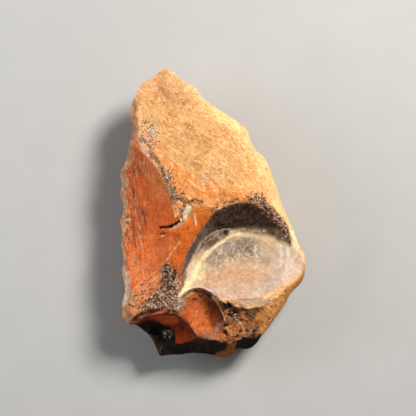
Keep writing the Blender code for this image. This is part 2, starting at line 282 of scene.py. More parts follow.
TONES = {
    # The rind is paler along its right rim, partly its own colour and partly a painted highlight
    "pale right rim with painted highlight": line("rind_light", 0.6, 2.5, 11, 3, [(176, 78), (195, 88), (208, 104), (222, 115),
        (247, 128), (252, 140), (262, 152), (275, 185), (285, 210), (292, 228)]),
    "dusky tip": spot("rind_brown", 0.4, 12, 14, 4, [(170, 90)]),
    "orange foot of the rind": patch("rind_orange", 0.8, 10, 4, [(158, 172), (175, 162), (200, 176),
        (225, 186), (262, 190), (264, 204), (225, 202), (206, 216), (196, 228), (185, 240), (180, 215),
        (172, 195)]),
    "orange beside the ridge": line("rind_orange", 0.7, 4, 9, 3, [(146, 138), (156, 152), (166, 172),
        (174, 192)]),
    "brown left of the tip": line("rind_brown", 0.5, 2.5, 3, 1, [(139, 98), (134, 118), (133, 140),
        (129, 156)]),
    "speckled patch by the ridge": spot("lilac", 0.5, 5, 6, 3, [(150, 134)]),
    "brown streaks in the rind": line("rind_brown", 0.6, 2, 7, 5, [(186, 128), (196, 135), (206, 145)]),
    "second brown streak": line("rind_brown", 0.5, 1, 4, 3, [(193, 163), (198, 167)]),
    "third brown streak": line("rind_brown", 0.35, 1, 5, 4, [(212, 196), (224, 192), (236, 195)]),
    "smooth dimple": line("dimple", 0.8, 2.5, 5, 2, [(201, 182), (206, 177)], -0.35),
    "red head of the upper scar": patch("red", 0.9, 2, 1, [(135, 139), (139, 140), (144, 148), (150, 156),
        (155, 163), (150, 165), (138, 158), (133, 150)]),
    "grey head of the upper scar": line("orange", 0.35, 2, 9, 3, [(146, 158), (152, 172), (158, 190)]),
    "warm foot of the upper scar": line("orange", 0.5, 4, 10, 3, [(160, 190), (167, 210)]),
    "light head of the upper scar": line("peach", 0.22, 3, 8, 3, [(148, 162), (155, 178), (161, 194)]),
    "dark side of the upper scar": line("smudge", 0.35, 1, 6, 4, [(140, 200), (146, 212)]),
    "orange strip beside the bowl": patch("orange", 0.8, 10, 2, [(180, 226), (196, 212), (207, 213),
        (197, 229), (190, 247), (184, 265), (180, 285), (173, 268), (172, 250)]),
    "dark smudge": line("smudge", 0.6, 1.5, 5, 4, [(179, 232), (175, 243)]),
    "red between the scars": line("red_bright", 0.7, 2, 7, 2, [(172, 229), (171, 241), (170, 254)]),
    "pale head of the lower scar": spot("peach", 0.3, 5, 14, 4, [(140, 268)]),
    "lower left between ridge and arch": patch("lower_left", 0.8, 7, 3, [(136, 286), (150, 277), (163, 268),
        (168, 285), (160, 303), (142, 306), (130, 312), (128, 303), (132, 295)]),
    "lower left corner": patch("lower_left", 0.9, 3, 1.5, [(127, 298), (142, 300), (142, 309), (134, 317),
        (133, 324), (124, 321), (123, 308)]),
    "dark of the speckled patch": patch("speckled_dark", 0.85, 4, 3, [(168, 261), (175, 265), (180, 276),
        (181, 290), (170, 290), (161, 284), (161, 272)]),
    "grey of the speckled patch": patch("speckled_grey", 0.75, 8, 4, [(152, 292), (165, 285), (182, 290),
        (186, 298), (184, 306), (170, 308), (150, 308), (140, 306)]),
    # Painted light: the red face under the arch lightened in place of the light that the arch's overhang
    # keeps off it
    "painted light on the red under the arch": patch("red_lit", 0.8, 6, 3.5, [(146, 313), (158, 310.5), (168, 311),
        (178, 316), (176, 323), (166, 321), (158, 318), (150, 318)]),
    # Painted shade: the left foot, where the stone turns under, near-black
    "painted shade on the left foot": patch("underside", 0.95, 1.6, 0.8, [(140, 325), (150, 328), (158, 334), (164, 341),
        (168, 348), (168, 358), (148, 358)]),
    "red-brown lip": patch("under", 0.95, 1.4, 0.8, [(132, 323), (132, 317), (138, 311.5), (147, 309),
        (153, 311), (148, 314), (143, 318), (138, 324)]),
    # Painted shade: the deep scar's right half, which faces away from the light, darkened
    "painted shade in the deep scar's right half": patch("brown", 0.8, 9, 3, [(204, 284), (214, 292), (226, 310), (226, 322),
        (214, 334), (210, 322), (206, 304)]),
    "brown foot of the deep scar": patch("brown", 0.55, 6, 2, [(193, 331), (200, 328), (210, 331),
        (212, 337), (202, 340), (186, 342), (186, 335)]),
    "peach in the bowl": line("peach", 0.7, 2, 15, 1.5, [(210, 276), (234, 272), (256, 272)]),
    "rosy foot of the bowl": line("rose", 0.5, 2, 12, 3, [(205, 288), (228, 291), (250, 291), (270, 284)]),
    "mottling in the bowl": line("mottled", 0.75, 2, 13, 1.5, [(208, 258), (220, 251), (236, 245),
        (250, 245)]),
    "dark of the mottling": spot("grey_dark", 0.6, 2, 10, 1.5, [(245, 242)]),
    "mottling to the right": line("mottled", 0.4, 1, 9, 1.5, [(250, 253), (268, 257)]),
    "lilac end of the bowl": patch("lilac", 0.6, 14, 2, [(274, 242), (292, 244), (304, 256), (304, 268),
        (292, 282), (276, 290), (266, 286), (272, 262)]),
    "cream left of the bowl": line("cream", 0.65, 2, 9, 3, [(186, 288), (193, 275), (200, 264)]),
    "yellow rim": patch("yellow", 0.85, 5, 2, [(264, 301), (276, 291), (290, 279), (300, 270), (306, 265),
        (309, 268), (305, 276), (290, 297), (275, 314), (262, 332), (255, 337), (250, 322)]),
    # Painted shade along the lower edge of the yellow rim, where it turns away from the light
    "painted shade on the yellow rim's lower edge": line("brown", 0.5, 1, 4, 2, [(307, 272), (299, 286), (290, 298),
        (282, 309)]),
    "brown lumps on the yellow rim": lumps("rind_brown", 0.5, 2.4, 4, 1, [(280, 296), (294, 282), (307, 268),
        (309, 271), (292, 300), (270, 328), (262, 332), (270, 312)]),
    "rough brown butt": patch("butt", 0.85, 4, 2.5, [(219, 302), (232, 304), (248, 312), (259, 322),
        (256, 337), (235, 339), (219, 338), (216, 327), (226, 318), (222, 309)]),
    "dark of the butt": line("brown", 0.7, 2, 6, 4, [(226, 308), (238, 313), (250, 316), (258, 322)]),
    "ledge under the bowl": patch("ledge", 0.9, 1.6, 0.6, [(212, 294), (222, 296.5), (234, 297.3),
        (247, 297.5), (260, 296.5), (273, 289), (283, 281), (289, 283), (277, 295), (262, 304), (247, 306),
        (232, 303), (220, 300)]),
    "orange in the butt": line("rind_orange", 0.6, 2, 5, 4, [(222, 333), (236, 326), (250, 326)]),
}
MARKS = {
    "crystals over the bowl": patch("brown", 0.8, 3, 2, [(244, 194), (262, 193), (269, 203), (279, 213),
        (287, 224), (292, 239), (289, 244), (281, 231), (270, 218), (261, 207), (250, 202)]),
    "brown hem of the bowl": line("brown", 0.65, 1, 3, 2, [(212, 208), (222, 201), (236, 199), (250, 199)]),
    # Painted shade along the bowl's overhanging wall: its right end, its foot and just below it
    "dark right end of the wall": line("dark", 0.8, 2.5, 4, 2, [(262, 222), (276, 229), (287, 239)]),
    "dark foot of the wall": line("black", 0.75, 1.5, 6, 1, [(218, 222), (232, 222), (250, 223), (268, 227),
        (280, 233)]),
    "painted shade under the wall": line("wall", 0.55, 0.8, 5, 2, [(238, 228.5), (255, 229.5), (270, 233),
        (284, 240)]),
    "pale line at the left of the tip": line("pale", 0.5, 0.4, 1, 0.5, [(140, 106), (139.5, 120),
        (140, 134)], 0.15),
    "pale edge of the dimple": line("rind_pale", 0.85, 0.4, 1, 0.5, [(189, 179), (197, 186),
        (204, 190)], 0.2),
    "slit in the rind": line("black", 0.85, 0.6, 1, 0.8, [(190, 200), (195, 198), (202, 200)], -0.4),
    "spot at the tip": line("spot", 0.75, 0.8, 2, 1.2, [(157, 84), (160, 88), (165, 91), (167, 96)], -0.2),
    "grey spot at the tip": spot("grey", 0.5, 0.8, 2, 1, [(160, 79)], -0.1),
    "flake at the tip": patch("pink", 0.55, 2.5, 1.5, [(140, 88), (147, 78), (156, 75), (161, 82), (158, 90),
        (149, 91), (141, 95)]),
    "grey streak in the upper scar": line("grey", 0.6, 0.2, 1, 1.4, [(137, 163), (135, 180), (136, 200),
        (141, 213), (144, 221)]),
    "second grey streak": line("grey", 0.5, 0.2, 1, 1.4, [(132, 188), (133, 202), (137, 214), (141, 228)]),
    "dark streak in the upper scar": line("smudge", 0.7, 0.25, 0.9, 1, [(132, 178), (134, 196), (137, 208)]),
    "second dark streak": line("smudge", 0.7, 0.3, 1.2, 1, [(139, 202), (143, 213), (146, 222)]),
    "third dark streak": line("smudge", 0.6, 0.25, 0.9, 1, [(131, 206), (134, 220), (134, 232), (137, 246)]),
    "short grey streak": line("pale", 0.4, 0.2, 1, 0.6, [(145, 152), (144, 163)]),
    "pale line at the head of the ridge": line("pale", 0.8, 0.3, 0.8, 0.6, [(146, 136.5), (151, 143),
        (158, 150)], 0.12),
    "grey side of the ridge": line("grey_dark", 0.85, 1.3, 2.6, 1.2, [(150, 152), (157.5, 161), (162.5, 169),
        (166.5, 179), (170.5, 189), (173.5, 198), (177, 208)], -0.12),
    "orange foot of the ridge": line("rind_orange", 0.9, 1.2, 2, 1, [(177, 203), (179, 209), (180, 213)]),
    "lilac head of the ridge": line("lilac", 0.7, 1.2, 1.6, 1, [(140, 141), (144, 148), (149, 154)]),
    "dark head of the ridge": line("grey_dark", 0.8, 0.6, 1, 0.8, [(137, 142), (139, 138), (143, 137.5),
        (147, 141), (151, 147)], -0.1),
    "pale streak in the ridge": line("grey", 0.7, 0.2, 0.8, 0.6, [(151, 157), (156, 165), (160, 172)]),
    # Painted shadow: the crack under the upper scar, a small step down, painted black where its face is in
    # shade
    "painted shadow in the crack under the upper scar": line("black", 1, 0.6, 0.8, 0.3, [(160, 225.5), (168, 225.3), (173, 223.7),
        (179, 220)], -0.9),
    "painted shadow in the wide of the crack": line("black", 1, 0.9, 0.8, 0.4, [(170, 224.6), (176, 222.3)], -0.4),
    "grey crescent": patch("grey", 0.9, 1.6, 0.8, [(180, 213), (184, 205.5), (189, 202), (194, 204),
        (192.5, 210), (188, 216), (184, 221), (180, 224), (172, 227.5), (166, 227.5), (172, 226),
        (178, 222.5), (181, 216)], -0.25),
    "pale crescent": patch("cream", 0.55, 1.6, 0.8, [(183.5, 213), (186.5, 206), (191, 203.5), (192.5, 206),
        (189, 212), (186, 217), (184, 218)]),
    "pale of the crescent": line("cream", 0.45, 0.6, 1.6, 0.8, [(188, 206), (186.5, 212), (183, 219)]),
    "dark hem of the crescent": line("dark", 0.7, 0.3, 1, 0.6, [(183, 220), (181.5, 213),
        (184.5, 206)], -0.15),
    "dark head of the crescent": line("dark", 0.75, 0.8, 1.6, 1.4, [(181, 209), (185, 202), (193, 199.5),
        (200, 202.5)], -0.2),
    "white dot": spot("white", 0.9, 0.8, 0.8, 0.3, [(181, 218)], 0.1),
    "slit beside the lower scar": line("dark", 0.85, 0.4, 0.8, 0.4, [(160.5, 232), (165, 231)], -0.3),
    "pale patch under the slit": spot("pale", 0.8, 0.8, 1.2, 0.5, [(162.5, 234)]),
    "black dash": line("black", 0.7, 0.3, 0.7, 0.5, [(182, 250.5), (187, 249.5)], -0.15),
    "second black dash": line("black", 0.6, 0.3, 0.7, 0.5, [(181, 255), (184, 254)], -0.1),
    "white streak": line("white", 0.6, 0.3, 1, 0.8, [(195.5, 213), (196, 223)]),
    "ridge over the speckled patch": line("pink", 0.75, 0.3, 1.2, 0.8, [(168, 257), (160, 267), (152, 273),
        (145, 279), (138, 283), (134, 288)], 0.2),
    "dark side of that ridge": line("smudge", 0.5, 0.2, 1, 0.6, [(166, 261), (158, 270), (150, 276),
        (143, 281.5)]),
    "faint ridge up to the bowl": line("rind_pale", 0.35, 0.3, 1.4, 0.5, [(168, 257), (173, 249),
        (180, 240)], 0.12),
    "black curls in the speckled patch": lumps("black", 0.85, 2.1, 2.5, 1, SPECKLED_PATCH, -0.1),
    "pale curls in the speckled patch": lumps("curl", 0.7, 1.7, 2.5, 1, SPECKLED_PATCH, 0.1),
    "orange grains in the speckled patch": lumps("orange", 0.7, 2, 2.5, 1, [(163, 262), (172, 262),
        (170, 276), (160, 290), (150, 300), (140, 304), (146, 294), (156, 284)]),
    "dots beside the ridge": lumps("dark", 0.85, 1.6, 2, 0.6, BESIDE_RIDGE, -0.15),
    "pale dots beside the ridge": lumps("grey", 0.7, 1.6, 2, 0.6, BESIDE_RIDGE),
    "grey streak in the lower scar": line("grey", 0.55, 0.2, 1.2, 1.2, [(130, 232), (133, 248), (136, 263)]),
    "second streak in the lower scar": line("pale", 0.35, 0.2, 1.2, 0.8, [(138, 222), (141, 236),
        (143, 250)]),
    "orange line along the retouch": line("orange", 0.6, 0.7, 1.4, 0.7, [(134, 146), (132, 165), (131, 185),
        (130, 210)]),
    "orange of the worked edge": lumps("orange", 0.6, 4, 3, 1.5, WORKED_BAND),
    "pale of the worked edge": lumps("pink", 0.5, 2.2, 3, 1.5, WORKED_BAND),
    "top of the upper scallop": line("brown", 0.55, 0.4, 1.2, 0.5, [(121, 171), (126, 169.5), (131, 171)]),
    "yellow round the holes": spot("rind_pale", 0.6, 2, 2, 0.6, [(128, 218)]),
    "upper hole": spot("dark", 0.95, 0.7, 0.8, 0.4, [(127.3, 215.5)], -0.5),
    "lower hole": spot("dark", 0.95, 0.8, 0.8, 0.4, [(127.3, 221)], -0.5),
    "pale flake at the lower left": patch("pink", 0.7, 2.4, 1, [(123, 268), (128, 274), (132, 288),
        (130, 300), (125, 306), (122, 298), (122, 285)]),
    "white of that flake": line("white", 0.6, 0.8, 3, 0.8, [(126, 271), (127, 280), (126.5, 290),
        (124.5, 300)]),
    "brown over that flake": line("smudge", 0.5, 0.8, 3, 1, [(126, 261), (129, 268)]),
    "round patch at the lower left corner": spot("grey_brown", 0.8, 2.6, 1.6, 0.8, [(128.5, 313.5)]),
    # Painted shadow along the overhanging arch
    "painted shadow under the arch": line("black", 0.95, 1, 1.4, 1.4, [(131, 319.5), (137, 313.5), (144, 309.5), (152, 309),
        (160, 308), (170, 309), (178, 309.5)], -0.25),
    "dark grains under the arch": lumps("black", 0.75, 2.2, 2, 1, [(134, 314), (148, 305), (180, 306),
        (184, 313), (160, 312), (142, 317)]),
    # Painted shade: the hollow under the arch and the face below the low face, near-black
    "painted shade in the hollow under the arch": patch("underside", 0.92, 2, 1.6, [(130, 323.5), (137, 320.5), (146, 318.5),
        (155, 319.5), (163, 322.5), (170, 325), (175, 329), (173, 334), (166, 337.5), (156, 336), (146, 333),
        (138, 329)]),
    "painted shade under the low face": patch("underside", 0.95, 1, 0.8, [(158, 335.5), (165, 337.5), (170, 341),
        (182, 342), (194, 340.5), (200, 339), (197, 345), (180, 352), (160, 350)]),
    "grey in the hollow": lumps("grey_dark", 0.7, 1.8, 3, 1, [(157, 325), (166, 323.5), (174, 329),
        (171, 335), (162, 335)]),
    # Painted shade, broken into lumps, on the low face
    "painted shade in lumps on the low face": lumps("underside", 0.5, 3.2, 4, 1, [(166, 326), (182, 320), (192, 330),
        (198, 340), (182, 342), (170, 338)]),
    "white fleck": lumps("white", 0.8, 1.4, 1.4, 1, [(163, 329), (168, 328), (171.5, 331), (170, 334),
        (166.5, 336), (164, 334)]),
    "second white fleck": line("grey_brown", 0.6, 0.25, 1, 0.9, [(169.5, 329), (172, 333)]),
    "pale knob": line("pale", 0.5, 2, 4, 2, [(178, 304), (182, 300)], 0.3),
    # Painted shade under the deep scar's overhanging rim, and a painted highlight along the rim itself
    "painted shade under the deep scar's rim": line("dark", 0.8, 0.5, 1.4, 1, [(182, 293.5), (190, 289.5), (196, 288.5),
        (204, 289.5), (211, 294)], -0.1),
    "painted highlight on the deep scar's rim": line("white", 0.85, 0.35, 0.7, 0.3, [(175, 296.5), (183, 289.4),
        (190, 286.2), (197, 284.8), (204, 285.6), (210, 288.6), (215, 293)], 0.12),
    "orange crumbs in the deep scar": line("rind_orange", 0.5, 1, 2, 2, [(186, 298), (192, 293),
        (200, 293)]),
    "left arris of the deep scar": line("black", 0.7, 0.5, 1.4, 0.8, [(181, 311), (186, 316), (190, 323),
        (192, 329)], -0.1),
    "grey foot of the deep scar": line("grey", 0.6, 1, 2, 1.4, [(225, 319), (219, 323), (214, 330),
        (210, 336)]),
    "green-grey patch": spot("grey_brown", 0.6, 3, 4, 1.6, [(206, 332)]),
    "glint in the deep scar": spot("white", 0.5, 0.5, 0.9, 0.6, [(197.5, 309)]),
    "dark lumps in the deep scar": lumps("red_deep", 0.5, 3.4, 4, 1, [(186, 300), (200, 296), (214, 302),
        (220, 316), (212, 332), (196, 336), (190, 322)]),
    "pale grains in the deep scar": lumps("peach", 0.35, 1.5, 4, 1, [(188, 300), (204, 298), (210, 320),
        (200, 330), (190, 318)]),
    "crumbs over the deep scar": lumps("black", 0.8, 1.8, 2, 0.6, [(184, 297), (194, 292), (206, 293),
        (210, 298), (200, 298), (190, 301)]),
    "second glint": spot("white", 0.4, 0.4, 0.9, 0.6, [(196, 314)]),
    "cream band left": line("cream", 0.9, 1, 2.4, 1, [(180, 292), (187, 284), (193.5, 270), (201, 258),
        (209, 249.5)]),
    "cream band middle": line("cream", 0.85, 0.6, 2, 0.8, [(205, 253.5), (212, 246.5), (220, 241),
        (230, 234.5), (240, 231.8)]),
    "cream band right": line("cream", 0.45, 0.6, 3, 1.4, [(238, 232.5), (255, 233.5), (270, 238),
        (281, 244)]),
    "dark edge of the left wall": line("grey_dark", 0.85, 1.4, 2, 1, [(178, 291), (182, 281), (185.5, 268),
        (190, 254), (196, 241), (202, 230)]),
    "orange over the left rim": line("orange", 0.9, 1.6, 1.4, 0.8, [(177, 288), (179.5, 275), (183, 258),
        (187, 243), (194, 230), (202, 221)]),
    "tan under the pale streak": line("bowl", 0.6, 1, 2, 1, [(189, 277), (195, 262), (202, 250)]),
    "pale streak on the bowl's wall": line("pale", 0.65, 0.3, 1.3, 0.7, [(187, 268), (191.5, 258),
        (196.5, 249), (201.5, 241), (208, 234.5), (216, 230), (224, 227), (230, 227.5), (231, 231)], 0.15),
    "dark streak on the bowl's wall": line("wall", 0.85, 1.6, 3, 1, [(206, 245), (213, 239.5), (220, 235),
        (226, 231)]),
    "pit at the bowl's wall": spot("black", 0.95, 1.6, 1.4, 0.5, [(226.3, 230.7)], -0.4),
    "dark grains in the bowl": lumps("grey_dark", 0.5, 1.4, 8, 2, MOTTLED_BAND),
    "pale grains in the bowl": lumps("white", 0.3, 1.4, 8, 2, MOTTLED_BAND),
    "specks on the bowl's wall": lumps("wall_speck", 0.45, 1.6, 3, 1, BOWL_WALL),
    "pale specks on the bowl's wall": lumps("grey", 0.2, 1.3, 3, 1, BOWL_WALL),
    "white tick in the bowl": line("white", 0.6, 0.2, 0.8, 0.4, [(255, 243), (255.5, 249)]),
    "second tick in the bowl": line("white", 0.5, 0.2, 0.8, 0.4, [(257, 252), (256, 255)]),
    "arc at the bowl's right": line("white", 0.14, 0.3, 2, 0.8, [(279, 243), (281, 252), (280, 262)]),
    "grey between the arcs": line("mottled", 0.25, 0.5, 3, 0.8, [(283, 244), (285, 254), (283, 266)]),
    "second arc at the bowl's right": line("white", 0.14, 0.3, 2, 0.8, [(286, 243), (288.5, 253),
        (286, 264)]),
    "slit over the bowl": line("black", 0.95, 0.9, 1.2, 0.6, [(262, 200), (266, 207), (272, 213),
        (280, 217.5)], -0.6),
    "pale strip right of the bowl": patch("cream", 0.75, 1.6, 0.5, [(289, 228), (295, 229), (300, 246),
        (296, 248), (291, 241)]),
    "pale end of the bowl": line("cream", 0.6, 0.8, 2, 0.6, [(297, 248), (303, 252), (305.5, 260)]),
    "orange on the ledge": line("rind_orange", 0.7, 1, 2, 2, [(215, 297.5), (226, 299.5), (238, 300)]),
    "rosy line under the bowl": line("pink", 0.55, 0.3, 1, 0.5, [(214, 294), (230, 296), (247, 297),
        (260, 296), (273, 288.5), (283, 280), (290, 272), (298, 266)]),
    "lilac patches on the ledge": line("lilac", 0.6, 1.2, 2.4, 2, [(245, 301), (258, 300), (270, 299)]),
    "hole in the ledge": spot("dark", 0.9, 0.6, 0.9, 0.4, [(271, 305)], -0.3),
    "first black blotch": spot("black", 0.9, 2.6, 2.4, 2, [(225, 304)], -0.3),
    "second black blotch": line("black", 0.9, 2, 2.4, 2.2, [(229, 307), (234, 309.5), (240, 311)], -0.3),
    "third black blotch": line("black", 0.6, 0.6, 2, 1.8, [(241, 304), (246, 308)], -0.2),
    "black lumps in the butt": lumps("black", 0.95, 3.4, 3, 1, [(215, 300), (228, 299), (240, 306),
        (252, 313), (262, 323), (258, 334), (244, 338), (224, 338), (217, 332), (226, 318),
        (222, 308)], -0.25),
    "orange lumps in the butt": lumps("orange_brown", 0.85, 3.4, 3, 1, [(221, 306), (234, 306), (246, 310),
        (256, 316), (262, 323), (258, 334), (244, 338), (224, 338), (217, 332), (226, 318)], 0.1),
    "pale lumps in the butt": lumps("grey_brown", 0.5, 1.7, 3, 1, [(226, 312), (244, 314), (258, 326),
        (250, 336), (228, 336)], 0.1),
    "pale vein in the butt": line("pale", 0.55, 0.3, 1, 0.9, [(234, 315), (241, 322), (245, 330)], 0.1),
    "second vein in the butt": line("rind_pale", 0.3, 0.3, 1, 0.9, [(226, 325), (232, 333)], 0.1),
    "pale edge of the deep scar": line("cream", 0.95, 0.35, 0.6, 0.3, [(212, 293.5), (218, 301),
        (222.5, 310), (225, 319)], 0.2),
    "right foot": patch("orange_brown", 0.7, 2.5, 2, [(229, 340), (237, 341), (233, 349), (230, 356),
        (223, 360), (213, 358), (217, 351), (226, 347)]),
    "left foot": spot("brown", 0.5, 3, 4, 1.5, [(168, 354)]),
    "brown lumps on the underside": lumps("brown", 0.3, 2.5, 5, 1.5, [(168, 343), (200, 341), (232, 341),
        (262, 338), (250, 350), (235, 352), (215, 352), (176, 355)]),
    "brown lumps on the left foot": lumps("brown", 0.7, 2.2, 3, 1.5, [(140, 326), (148, 326), (156, 332),
        (163, 340), (166, 356), (160, 352), (152, 336)]),
    "grey scratches on the left foot": line("grey_brown", 0.35, 0.3, 1.2, 1.4, [(146, 328), (152, 335),
        (156, 344), (160, 352)]),
}

# Broken, crystalline patches: how thickly they are strewn with grains, their softness and outline
SPECKLED_RAGGED = 2
SPECKLED = {
    "yellow rim": (0.12, 6, [(262, 306), (290, 280), (306, 266), (309, 269), (291, 298),
        (264, 332), (256, 337), (256, 320)]),
    "speckled patch": (0.8, 6, [(168, 260), (177, 267), (179, 278), (180, 288), (185, 296), (187, 303),
        (182, 308), (165, 307), (150, 308), (140, 304), (146, 295), (155, 290), (160, 278), (162, 268)]),
    "over the bowl": (0.7, 4, [(242, 197), (250, 191), (262, 191), (269, 203), (279, 213), (287, 224),
        (291, 239), (288, 243), (281, 231), (270, 218), (261, 207), (250, 202)]),
    "butt": (0.2, 6, [(218, 300), (232, 304), (248, 312), (259, 322), (256, 337), (235, 339),
        (219, 338), (216, 327), (225, 318), (221, 308)]),
    "head of the ridge": (0.5, 8, [(143, 122), (157, 121), (158, 142), (151, 148), (143, 140)]),
    "beside the ridge": (0.4, 8, [(160, 164), (170, 167), (179, 185), (190, 198), (184, 206), (176, 200),
        (168, 186)]),
    "left of the bowl": (0.3, 5, [(210, 210), (224, 199.5), (245, 195.5), (250, 202), (229, 205),
        (214, 218)]),
    "lower left": (0.3, 5, [(126, 301), (139, 285), (150, 277), (155, 288), (142, 301), (129, 314)]),
}


def closed_curve(points, steps=12):
    """A smooth closed curve through the points."""
    here = np.array(points, float)
    before, after, next_after = np.roll(here, 1, 0), np.roll(here, -1, 0), np.roll(here, -2, 0)
    t = np.linspace(0, 1, steps, endpoint=False)[:, None, None]
    bend = 2 * before - 5 * here + 4 * after - next_after
    twist = 3 * here - before - 3 * after + next_after
    curve = here + 0.5 * ((after - before) * t + bend * t**2 + twist * t**3)
    return curve.transpose(1, 0, 2).reshape(-1, 2)


def rim_radius(angle):
    """The outline's distance from the nodule's middle at each angle, as it is and smoothed."""
    curve = closed_curve(RIND_SIDE + BUTT + WORKED_EDGE) - NODULE_MIDDLE[:2]
    turn = np.arctan2(curve[:, 1], curve[:, 0])
    order = np.argsort(turn)
    even = np.radians(np.arange(-180, 180))
    exact = np.interp(even, turn[order], np.hypot(*curve[order].T), period=2 * np.pi)
    window = np.hanning(2 * RIM_SMOOTHING + 1)
    wrapped = np.concatenate([exact[-RIM_SMOOTHING:], exact, exact[:RIM_SMOOTHING]])
    smooth = np.convolve(wrapped, window / window.sum(), "valid")
    return [np.interp(angle, even, radius, period=2 * np.pi) for radius in (exact, smooth)]


def outside_nodule(places):
    """Whether each place lies outside the nodule: the outline at the rim, rounding off to top and bottom."""
    x, y, z = (places - NODULE_MIDDLE).T
    rise = z - RIM_RISE_TO_TIP * y
    exact, smooth = rim_radius(np.arctan2(y, x))
    steepness = rise / np.sqrt(x**2 + y**2 + rise**2)
    radius = smooth + (exact - smooth) * np.exp(-((steepness / RIM_DETAIL) ** 2))
    up = np.abs(rise) / np.where(rise > 0, TOP_OF_NODULE, BOTTOM_OF_NODULE)
    return (np.hypot(x, y) / radius) ** ROUNDING + up**ROUNDING > 1


def nodule(rays):
    """Distance to the nodule's skin, closed in on by halving."""
    low, high = np.zeros(len(rays)), np.full(len(rays), FARTHEST)
    for _ in range(HALVINGS):
        middle = (low + high) / 2
        outside = outside_nodule(CORE + rays * middle[:, None])
        high = np.where(outside, middle, high)
        low = np.where(outside, low, middle)
    return high


def scar(rays, side, point, rise, radii, turn):
    """Distance to one hollow or bulging face, on the front (side 1) or the back (side -1)."""
    normal = side * np.array([-rise[0], -rise[1], 1.0])
    normal /= np.linalg.norm(normal)
    along = np.array([np.cos(np.radians(turn)), np.sin(np.radians(turn)), 0.0])
    along -= normal * (along @ normal)
    along /= np.linalg.norm(along)
    axes = np.array([along, np.cross(normal, along), normal])
    bend = np.array([0.5 / radii[0], 0.5 / radii[1], 0.0])
    start = axes @ (CORE - point)
    step = rays @ axes.T
    square = step**2 @ bend
    middle = 2 * step @ (bend * start) - step[:, 2]
    depth = bend @ start**2 - start[2]
    inside = middle**2 - 4 * square * depth
    below = np.sqrt(np.maximum(inside, 0)) - middle
    met = (inside >= 0) & (below > 1e-9)
    return np.where(met, 2 * depth / np.where(met, below, 1), np.inf)


def edge_flakes():
    """The retouch: a short steep scar for each small flake, rising from the worked edge."""
    flakes = {}
    for number, (x, y, width, steepness) in enumerate(EDGE_FLAKES):
        edge = NODULE_MIDDLE[2] + RIM_RISE_TO_TIP * (y - NODULE_MIDDLE[1]) + EDGE_LIP
        flakes[f"edge_{number}"] = [((x, y, edge), (steepness, 0), (EDGE_HOLLOW, 1.6 * width), 0)]
    return flakes


def all_reaches(rays):
    """Distance along each ray to the skin and to every scar, one row for each."""
    reaches = [nodule(rays)]
    for side, scars in ((1, FRONT | edge_flakes()), (-1, BACK)):
        for faces in scars.values():
            reaches.append(np.max([scar(rays, side, *face) for face in faces], axis=0))
    return np.minimum(reaches, FARTHEST)


def onto_arrises(rays, edges):
    """Turns the rays nearest to each arris, where two surfaces meet, so that they end on it."""
    reaches = all_reaches(rays)
    first = reaches.argmin(axis=0)
    start, end = edges[first[edges[:, 0]] != first[edges[:, 1]]].T
    before = reaches[first[end], start] - reaches[first[start], start]
    after = reaches[first[start], end] - reaches[first[end], end]
    share = before / np.maximum(before + after, 1e-9)
    mover = np.where(share < 0.5, start, end)
    other = np.where(share < 0.5, end, start)
    share = np.minimum(share, 1 - share)
    order = np.argsort(-share)
    mover, other, share = mover[order], other[order], share[order, None]
    turned = rays.copy()
    turned[mover] = rays[mover] * (1 - share) + rays[other] * share
    return turned / np.linalg.norm(turned, axis=1)[:, None]


def ball_mesh():
    """A cube divided into fine squares, to be drawn out into the stone."""
    mesh = bpy.data.meshes.new("hand_axe_stone")
    cube = bmesh.new()
    bmesh.ops.create_cube(cube, size=2)
    bmesh.ops.subdivide_edges(cube, edges=cube.edges[:], cuts=CUTS, use_grid_fill=True)
    cube.to_mesh(mesh)
    cube.free()
    return mesh


def read(collection, name, kind, width):
    """One property of every vertex, edge or face of a mesh, as rows."""
    values = np.empty(len(collection) * width, kind)
    collection.foreach_get(name, values)
    return values.reshape(-1, width)


def rays_to(cube_places):
    """The cube's points as rays spread evenly over the stone, more closely on the front."""
    ball = np.tan(cube_places * math.pi / 4)
    ball /= np.linalg.norm(ball, axis=1)[:, None]
    height = ball[:, 2] + FRONT_SHARE * (1 - ball[:, 2] ** 2)
    level = np.sqrt((1 - height**2) / np.maximum(1 - ball[:, 2] ** 2, 1e-12))
    ball = np.stack([ball[:, 0] * level, ball[:, 1] * level, height], axis=1)
    rays = ball * HALF_SIZE + (0, 0, MIDDLE_HEIGHT) - CORE
    return rays / np.linalg.norm(rays, axis=1)[:, None]


def normals_of(places, corners):
    """The way each vertex faces, from the faces around it."""
    first, second, third, fourth = (places[corners[:, n]] for n in range(4))
    across = np.cross(third - first, fourth - second)
    normals = np.zeros_like(places)
    for corner in range(4):
        np.add.at(normals, corners[:, corner], across)
    return normals / np.maximum(np.linalg.norm(normals, axis=1), 1e-12)[:, None]


def noise(places, size, seed):
    """Smooth random bumps about this many millimetres across, from -1 to 1."""
    scaled = places / size + seed * 17.31
    cell = np.floor(scaled).astype(np.int64)
    part = scaled - cell
    part = part * part * (3 - 2 * part)
    total = np.zeros(len(places))
    for corner in itertools.product((0, 1), repeat=3):
        x, y, z = (cell + corner).T
        value = CHANCE[(x * 73856093 ^ y * 19349663 ^ z * 83492791) % len(CHANCE)]
        total += value * np.where(corner, part, 1 - part).prod(axis=1)
    return total


def rough(places, size, seed, octaves=3):
    """Noise with finer and weaker noise on it."""
    return sum(noise(places, size / 2**n, seed + n) / 2**n for n in range(octaves))


def drawn_out(places, degrees, length, width):
    """The places measured along and across a direction, so that noise there comes out drawn long."""
    turn = math.radians(degrees)
    x, y, z = places.T
    along = x * math.cos(turn) + y * math.sin(turn)
    across = y * math.cos(turn) - x * math.sin(turn)
    return np.stack([along / length, across / width, z / width], axis=1)


def step_up(values, low, high):
    share = np.clip((values - low) / (high - low), 0, 1)
    return share * share * (3 - 2 * share)


